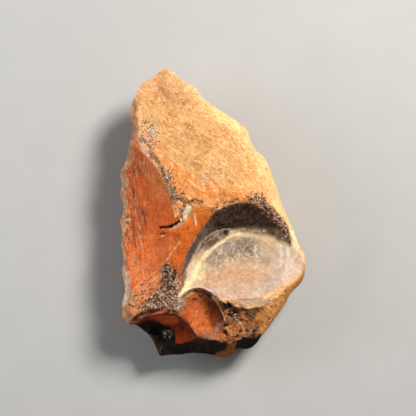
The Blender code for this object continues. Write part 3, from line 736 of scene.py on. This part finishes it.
def from_line(plan, points):
    """Distance in plan from each place to a line through the points."""
    nearest = np.full(len(plan), np.inf)
    points = np.array(points, float)
    if len(points) == 1:
        return np.linalg.norm(plan - points[0], axis=1)
    for start, end in zip(points, points[1:]):
        step = end - start
        share = np.clip((plan - start) @ step / (step @ step), 0, 1)
        nearest = np.minimum(nearest, np.linalg.norm(plan - start - share[:, None] * step, axis=1))
    return nearest


def within(plan, outline):
    """Whether each place lies inside an outline."""
    inside = np.zeros(len(plan), bool)
    x, y = plan.T
    for (x1, y1), (x2, y2) in zip(outline, outline[1:] + outline[:1]):
        if y1 != y2:
            crosses = (y1 > y) != (y2 > y)
            inside ^= crosses & (x < x1 + (y - y1) * (x2 - x1) / (y2 - y1))
    return inside


def from_photo(points):
    """Points read on the photograph as millimetres on the stone."""
    middle_x, middle_y = PHOTO_MIDDLE
    return [((x - middle_x) * MM_PER_PIXEL, (middle_y - y) * MM_PER_PIXEL) for x, y in points]


def ragged_plan(places, amount, seed):
    """The places seen from above, pushed about a little so that what is laid out there has natural edges."""
    push = np.stack([rough(places, RAGGED_SIZE, seed + n) for n in (0, 9)], axis=1)
    return places[:, :2] + push * amount


def stippled(share, places):
    """The share broken up into grains wherever it is neither none nor all."""
    grains = noise(places, GRAIN_SIZE, SEED["grains"])
    grains += 0.8 * noise(places, FINE_GRAIN_SIZE, SEED["fine grains"])
    return np.clip(share + STIPPLING * grains * share * (1 - share), 0, 1)


def cover(places, mark, seed):
    """How much a mark covers each place, from 0 to 1."""
    points = from_photo(mark.points)
    width = mark.width * MM_PER_PIXEL
    softness = max(mark.softness, LEAST_SOFTNESS) * MM_PER_PIXEL
    ragged = mark.ragged * MM_PER_PIXEL
    margin = width + softness + 2 * ragged + 0.5
    low, high = np.min(points, axis=0) - margin, np.max(points, axis=0) + margin
    near = np.all((places[:, :2] > low) & (places[:, :2] < high), axis=1)
    plan = ragged_plan(places[near], ragged, seed)
    share = np.zeros(len(places))
    if mark.shape in ("patch", "lumps"):
        distance = from_line(plan, points + points[:1])
        distance = np.where(within(plan, points), -distance, distance)
        share[near] = step_up(-distance, -softness / 2, softness / 2)
        if mark.shape == "lumps":
            share[near] *= step_up(rough(places[near], width, seed + 40, 2), *LUMP_EDGE)
    else:
        share[near] = 1 - step_up(from_line(plan, points), width, width + softness)
        share[near] *= np.clip(0.85 + 0.45 * rough(places[near], BREAK_SIZE, seed + 40, 2), 0, 1)
    share[near] = stippled(share[near], places[near])
    return share


def linear(name):
    """A palette colour in the values that the shader works with."""
    channel = np.array(PALETTE[name]) / 255
    return np.where(channel <= 0.04045, channel / 12.92, ((channel + 0.055) / 1.055) ** 2.4)


def mixed(colours, colour, share):
    return colours + (colour - colours) * share[:, None]


def bulging(places, normals, edges, rounds=2):
    """How sharply the surface turns at each vertex: above 0 on arrises, below 0 in creases."""
    count = np.bincount(edges.ravel(), minlength=len(places))
    total = np.zeros_like(places)
    for one, other in (edges.T, edges.T[::-1]):
        np.add.at(total, one, places[other] - places[one])
    turn = -(total * normals).sum(axis=1) / count
    for _ in range(rounds):
        summed = np.bincount(edges[:, 0], turn[edges[:, 1]], len(places))
        summed += np.bincount(edges[:, 1], turn[edges[:, 0]], len(places))
        turn = 0.5 * turn + 0.5 * summed / count
    return turn


class Stone:
    """The carved surface in millimetres, and what is painted on it."""

    def __init__(self, mesh):
        edges = read(mesh.edges, "vertices", np.int32, 2)
        rays = onto_arrises(rays_to(read(mesh.vertices, "co", np.float64, 3)), edges)
        reaches = all_reaches(rays)
        self.corners = read(mesh.loops, "vertex_index", np.int32, 1).reshape(-1, 4)
        self.places = CORE + rays * reaches.min(axis=0)[:, None]
        self.normals = normals_of(self.places, self.corners)
        self.turn = bulging(self.places, self.normals, edges)
        self.names = ["skin", *FRONT, *edge_flakes(), *BACK]
        self.zone = reaches.argmin(axis=0)
        _, along, rise = (self.places - NODULE_MIDDLE).T
        rise = rise - RIM_RISE_TO_TIP * along
        self.front = step_up(rise, *FRONT_FADE)
        self.side = self.share_of("skin") * (1 - step_up(rise, *FLANK_FADE))
        # Where the bowl's steep wall is, for its painted shade
        self.wall = np.zeros(len(rays))
        for name in ("bowl_left", "bowl_right"):
            floor, *walls = [np.minimum(scar(rays, 1, *face), FARTHEST) for face in FRONT[name]]
            self.wall += step_up(np.max(walls, axis=0) - floor, *WALL_FOOT) * self.share_of(name)
        self.height = np.zeros(len(rays))
        self.tint = np.zeros((len(rays), 3))
        self.grain = np.zeros(len(rays))
        self.speck = np.zeros(len(rays))
        self.black = np.zeros(len(rays))
        self.red = self.share_of("red_upper", "red_lower", "middle", "speckled", "deep", "under_left")

    def share_of(self, *names):
        """1 where one of these zones is, otherwise 0."""
        return np.isin(self.zone, [self.names.index(name) for name in names]).astype(float)

    def lay_zones(self):
        """Each face's colour, near-black painted shade on the faces where the stone turns under, and the
        flank under the worked edge turning from rind to jasper.
        """
        for name in self.names:
            if name.startswith("edge_"):
                colour = "pink"
            elif name.startswith("back_"):
                colour = "back"
            else:
                colour = ZONES[name]
            self.tint += self.share_of(name)[:, None] * linear(colour)
        under_edge = self.side * step_up(-self.places[:, 0], *UNDER_WORKED_EDGE)
        under_tip = under_edge * step_up(self.places[:, 1], *UNDER_TIP)
        self.tint = mixed(self.tint, linear("edge_side"), under_edge)
        self.tint = mixed(self.tint, linear("tip_side"), under_tip)
        self.grain = self.share_of("skin", "rind", "rim_rind") - 0.7 * under_edge
        self.grain += 0.5 * self.share_of("brown")
        self.red += 0.8 * under_edge + 0.8 * self.share_of(*edge_flakes(), *BACK)
        self.red -= self.share_of("resting_face")

    def lay_bowl(self):
        """The bowl's steep wall painted dark as shade, greyer to the left, with its grains."""
        left = step_up(-self.places[:, 0] - 0.6 * self.places[:, 1], *LEFT_WALL)
        colour = mixed(linear("wall") + 0 * self.tint, linear("wall_left"), left)
        # Painted shade: the wall's dark colour laid over the wall
        self.tint += (colour - self.tint) * stippled(self.wall, self.places)[:, None]
        hatch = rough(drawn_out(self.places, WALL_TURN, 2.0, 0.6), 1, SEED["wall"], 2)
        self.tint *= 1 + (WALL_HATCH * np.maximum(hatch, -0.8) * self.wall)[:, None]
        sand = rough(self.places, 0.9, SEED["bowl"], 2)
        self.tint *= 1 + (BOWL_SAND * sand * self.share_of("bowl_left", "bowl_right", "bowl_end"))[:, None]

    def lay_fibres(self):
        """Fine streaks down the red scars, with grey ones among them near the worked edge."""
        red = self.red
        fibres = rough(drawn_out(self.places, FIBRE_TURN, 4.0, 0.5), 1, SEED["fibres"], 2)
        clouds = rough(self.places, 9, SEED["clouds"], 3)
        self.tint *= 1 + ((0.10 * fibres + 0.16 * clouds) * red)[:, None]
        beside = step_up(-self.places[:, 0], *BESIDE_WORKED_EDGE)
        among = FIBRE_COVER * beside * red * step_up(self.places[:, 1], *FIBRES_FROM_BUTT)
        self.tint = mixed(self.tint, linear("grey"), among * step_up(fibres, 0.3, 0.8))
        self.tint = mixed(self.tint, linear("brown"), among * step_up(-fibres, 0.4, 0.9))
        self.fibre = red * (0.3 + 0.7 * beside * self.front)

    def pale_arrises_and_shade_creases(self):
        """Arrises are paled a little, as from use and as painted highlight, and creases are darkened with
        painted shade.
        """
        broken = 0.75 + 0.5 * rough(self.places, 2.5, SEED["wear and highlight"], 2)
        lightness = self.tint @ (0.3, 0.6, 0.1)
        worn_and_lit = step_up(self.turn, *SHARPNESS) * broken * (1 - 0.6 * self.grain)
        worn_and_lit *= step_up(lightness, *WEAR_AND_HIGHLIGHT_FROM)
        # Arrises paled, partly as wear and partly as painted highlight
        self.tint = mixed(self.tint, linear("pale"), np.clip(EDGE_WEAR_AND_HIGHLIGHT * worn_and_lit, 0, 1))
        # Painted shade: creases darkened
        self.tint *= 1 - (CREASE_SHADE * step_up(-self.turn, *SHARPNESS))[:, None]

    def lay_marks(self, marks):
        """The tones or marks, one over another. Dark ones are smooth, and black ones keep speckles off."""
        for seed, mark in enumerate(marks.values()):
            share = cover(self.places, mark, seed) * self.front
            self.tint = mixed(self.tint, linear(mark.colour), share * mark.strength)
            self.height += share * mark.height
            if mark.colour in SMOOTH_DARKS:
                self.grain = self.grain * (1 - share)
            if mark.colour == "black":
                self.black = np.maximum(self.black, share)

    def lay_speckles(self):
        for number, (amount, softness, outline) in enumerate(SPECKLED.values()):
            mark = patch(None, amount, softness, SPECKLED_RAGGED, outline)
            share = cover(self.places, mark, SEED["speckles"] + number) * self.front
            self.speck = np.maximum(self.speck, share * amount * (1 - self.black))

    def lay_relief(self):
        """The rind's sandy streaks, the scars' faint ripples and the rough of the crystals."""
        places, grain, speck = self.places, self.grain, self.speck
        swirl = np.stack([rough(places, 9, SEED["swirl"] + n, 2) for n in range(3)], axis=1)
        streaks = rough(drawn_out(places + RIND_SWIRL * swirl, GRAIN_TURN, 2.6, 0.62), 1, SEED["streaks"])
        sand = rough(places, 0.9, SEED["sand"], 2)
        waves = rough(places, 7, SEED["waves"], 2)
        self.height += grain * (RIND_STREAKS * streaks + RIND_SAND * sand + RIND_WAVES * waves)
        self.height += (1 - np.clip(grain + speck, 0, 1)) * (SCAR_WAVES * waves + SCAR_SAND * sand)
        self.height += speck * (CRYSTALS * rough(places, 1.1, SEED["crystals"], 2))
        self.places = self.places + self.normals * self.height[:, None]


def fitted(points):
    """The points in metres, brought to the box of the CAD's own stone."""
    low, high = (np.array(corner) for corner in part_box("hand_axe"))
    lowest, highest = points.min(axis=0), points.max(axis=0)
    return low + (points - lowest) / (highest - lowest) * (high - low)


def add_attribute(mesh, name, values):
    """A colour or a number for every vertex, for the shader to read."""
    kind, key = ("FLOAT_COLOR", "color") if values.ndim == 2 else ("FLOAT", "value")
    if values.ndim == 2:
        values = np.concatenate([np.clip(values, 0, 1), np.ones((len(values), 1))], axis=1)
    mesh.attributes.new(name, kind, "POINT").data.foreach_set(key, values.astype(np.float32).ravel())


class Nodes:
    """A short way to write a node tree: each call makes a node, links or sets its inputs, and returns it."""

    def __init__(self, material):
        material.use_nodes = True
        self.tree = material.node_tree
        self.shader = self.tree.nodes["Principled BSDF"]

    def set(self, socket, value):
        if isinstance(value, bpy.types.NodeSocket):
            self.tree.links.new(value, socket)
        else:
            socket.default_value = value

    def add(self, kind, inputs, output=0, **settings):
        node = self.tree.nodes.new(kind)
        for name, value in settings.items():
            setattr(node, name, value)
        for name, value in inputs.items():
            self.set(node.inputs[name], value)
        return node.outputs[output]

    def math(self, operation, first, second=0.0):
        return self.add("ShaderNodeMath", {0: first, 1: second}, operation=operation)

    def mix(self, share, first, second, blend="MIX"):
        inputs = {"Factor": share, 6: first, 7: second}
        return self.add("ShaderNodeMix", inputs, 2, data_type="RGBA", blend_type=blend)

    def range(self, value, low, high, to_low, to_high):
        inputs = {"Value": value, "From Min": low, "From Max": high, "To Min": to_low, "To Max": to_high}
        return self.add("ShaderNodeMapRange", inputs, interpolation_type="SMOOTHSTEP")

    def noise(self, places, scale, detail=2.0, roughness=0.5, distortion=0.0):
        inputs = {"Vector": places, "Scale": scale, "Detail": detail, "Roughness": roughness,
                  "Distortion": distortion}
        return self.add("ShaderNodeTexNoise", inputs)


def drawn_pattern(n, places, degrees, scale, *settings):
    """A pattern drawn long in one direction."""
    turned = n.add("ShaderNodeMapping", {"Vector": places, "Rotation": (0, 0, math.radians(-degrees))})
    drawn = n.add("ShaderNodeVectorMath", {0: turned, 1: scale}, operation="MULTIPLY")
    return n.noise(drawn, 1.0, *settings)


def stone_patterns(n, in_mm):
    """The patterns that the stone's tones follow. The rind's streaks are swirled lines with sand in them."""
    patterns = {name: n.noise(in_mm, *settings) for name, settings in PATTERNS.items()}
    push = n.add("ShaderNodeTexNoise", {"Vector": in_mm, "Scale": SWIRL_SCALE, "Detail": 1.0}, 1)
    push = n.add("ShaderNodeVectorMath", {0: push, 1: SWIRL_PUSH}, operation="MULTIPLY")
    swirled = n.add("ShaderNodeVectorMath", {0: in_mm, 1: push})
    patterns["lines"] = drawn_pattern(n, swirled, GRAIN_TURN, (0.38, 1.8, 1.8), 3, 0.6, 1.3)
    patterns["fibres"] = drawn_pattern(n, in_mm, FIBRE_TURN, (0.35, 2.1, 2.1), 3, 0.6, 0.6)
    share_of_lines = n.math("MULTIPLY", patterns["lines"], 0.75)
    share_of_sand = n.math("MULTIPLY", patterns["sand"], 0.25)
    patterns["streaks"] = n.math("ADD", share_of_lines, share_of_sand)
    return patterns


def toned(n, colour, painted, patterns):
    """The painted colour with the tones on it, one over another."""
    for where, pattern, (low, high), (to_low, to_high), tone, blend in TONING.values():
        share = n.range(patterns[pattern], low, high, to_low, to_high)
        if where:
            share = n.math("MULTIPLY", painted[where], share)
        colour = n.mix(share, colour, (*tone, 1), blend)
    return colour


def with_crystals(n, colour, speck, in_mm):
    """The colour strewn with dark and pale crystals where it is speckled, and each crystal's shade."""
    push = n.add("ShaderNodeTexNoise", {"Vector": in_mm, "Scale": 0.9}, 1)
    bent = n.add("ShaderNodeVectorMath", {0: in_mm, 1: push})
    flattened = n.add("ShaderNodeVectorMath", {0: bent, 1: (0.75, 1.25, 1.0)}, operation="MULTIPLY")
    cells = n.add("ShaderNodeTexVoronoi", {"Vector": flattened, "Scale": 2.1}, "Color")
    chance = n.add("ShaderNodeSeparateColor", {"Color": cells}, "Red")
    shade = n.add("ShaderNodeSeparateColor", {"Color": cells}, "Green")
    strewn = n.math("LESS_THAN", chance, n.math("MULTIPLY", speck, CRYSTAL_SHARE))
    crystal = DARKEST_CRYSTAL
    for from_shade, lighter in LIGHTER_CRYSTALS:
        crystal = n.mix(n.math("GREATER_THAN", shade, from_shade), crystal, lighter)
    return n.mix(n.math("MULTIPLY", strewn, CRYSTAL_COVER), colour, crystal), shade


def stone_material():
    material = bpy.data.materials.new("jasper_and_rind")
    n = Nodes(material)
    tint = n.add("ShaderNodeAttribute", {}, "Color", attribute_name="tint")
    painted = {name: n.add("ShaderNodeAttribute", {}, "Fac", attribute_name=name)
               for name in ("grain", "speck", "red", "fibre")}
    coordinates = n.add("ShaderNodeTexCoord", {}, "Object")
    in_mm = n.add("ShaderNodeVectorMath", {0: coordinates, 1: (1000, 1000, 1000)}, operation="MULTIPLY")
    patterns = stone_patterns(n, in_mm)
    grain, speck, sand = painted["grain"], painted["speck"], patterns["sand"]
    colour, shade = with_crystals(n, toned(n, tint, painted, patterns), speck, in_mm)
    n.set(n.shader.inputs["Base Color"], colour)

    dullness = n.math("ADD", n.math("MULTIPLY", grain, 0.6), n.math("MULTIPLY", sand, 0.4))
    n.set(n.shader.inputs["Roughness"], n.range(dullness, 0.1, 0.8, *ROUGHNESS))
    n.shader.inputs["Specular IOR Level"].default_value = GLOSS

    heights = n.math("ADD", n.math("MULTIPLY", patterns["lines"], grain), n.math("MULTIPLY", sand, 0.35))
    heights = n.math("ADD", heights, n.math("MULTIPLY", n.math("MULTIPLY", shade, speck), 0.6))
    bump = n.add("ShaderNodeBump", {"Strength": 0.6, "Distance": BUMP_HEIGHT, "Height": heights})
    n.set(n.shader.inputs["Normal"], bump)
    return material


def stone_piece():
    mesh = ball_mesh()
    stone = Stone(mesh)
    stone.lay_zones()
    stone.lay_marks(TONES)
    stone.lay_bowl()
    stone.lay_fibres()
    stone.pale_arrises_and_shade_creases()
    stone.lay_marks(MARKS)
    stone.lay_speckles()
    stone.lay_relief()
    mesh.vertices.foreach_set("co", fitted(stone.places).ravel())
    mesh.shade_smooth()
    add_attribute(mesh, "tint", stone.tint)
    add_attribute(mesh, "speck", stone.speck)
    for name, share in (("grain", stone.grain), ("red", stone.red), ("fibre", stone.fibre)):
        add_attribute(mesh, name, np.clip(share - stone.speck, 0, 1))
    mesh.update()
    piece = bpy.data.objects.new("hand_axe_stone", mesh)
    bpy.context.scene.collection.objects.link(piece)
    mesh.materials.append(stone_material())
    return piece


def floor_material():
    material = bpy.data.materials.new("pale_floor")
    n = Nodes(material)
    coordinates = n.add("ShaderNodeTexCoord", {}, "Object")
    mottle = n.noise(coordinates, 60, 3)
    n.set(n.shader.inputs["Base Color"], n.mix(mottle, *FLOOR_TONES))
    n.shader.inputs["Roughness"].default_value = 0.9
    return material


def lay_floor():
    mesh = bpy.data.meshes.new("floor")
    half = FLOOR_SIZE / 2
    corners = [(-half, -half, -FLOOR_DROP), (half, -half, -FLOOR_DROP), (half, half, -FLOOR_DROP),
               (-half, half, -FLOOR_DROP)]
    mesh.from_pydata(corners, [], [(0, 1, 2, 3)])
    mesh.materials.append(floor_material())
    floor = bpy.data.objects.new("floor", mesh)
    bpy.context.scene.collection.objects.link(floor)


def area_light(name, place, size, energy, colour):
    """A square lamp turned to the stone."""
    light = bpy.data.lights.new(name, "AREA")
    light.size = size
    light.energy = energy
    light.color = colour
    lamp = bpy.data.objects.new(name, light)
    lamp.location = place
    lamp.rotation_euler = (STONE_MIDDLE - lamp.location).to_track_quat("-Z", "Y").to_euler()
    bpy.context.scene.collection.objects.link(lamp)


def light_and_camera():
    """Soft lamps, and a camera that looks straight down on the stone."""
    scene = bpy.context.scene
    for name, settings in LIGHTS.items():
        area_light(name, *settings)
    world = bpy.data.worlds.new("studio")
    world.use_nodes = True
    world.node_tree.nodes["Background"].inputs["Color"].default_value = SKY
    world.node_tree.nodes["Background"].inputs["Strength"].default_value = SKY_STRENGTH
    scene.world = world
    lens = bpy.data.cameras.new("camera")
    lens.lens = lens.sensor_width * CAMERA_DISTANCE / (PHOTO_WIDTH * METRES_PER_PIXEL)
    camera = bpy.data.objects.new("camera", lens)
    camera.location = (*CAMERA_PLACE, STONE_MIDDLE.z + CAMERA_DISTANCE)
    scene.collection.objects.link(camera)
    scene.camera = camera
    scene.view_settings.view_transform = "Standard"


stone = stone_piece()
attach(stone, "root")
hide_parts("hand_axe")
lay_floor()
light_and_camera()
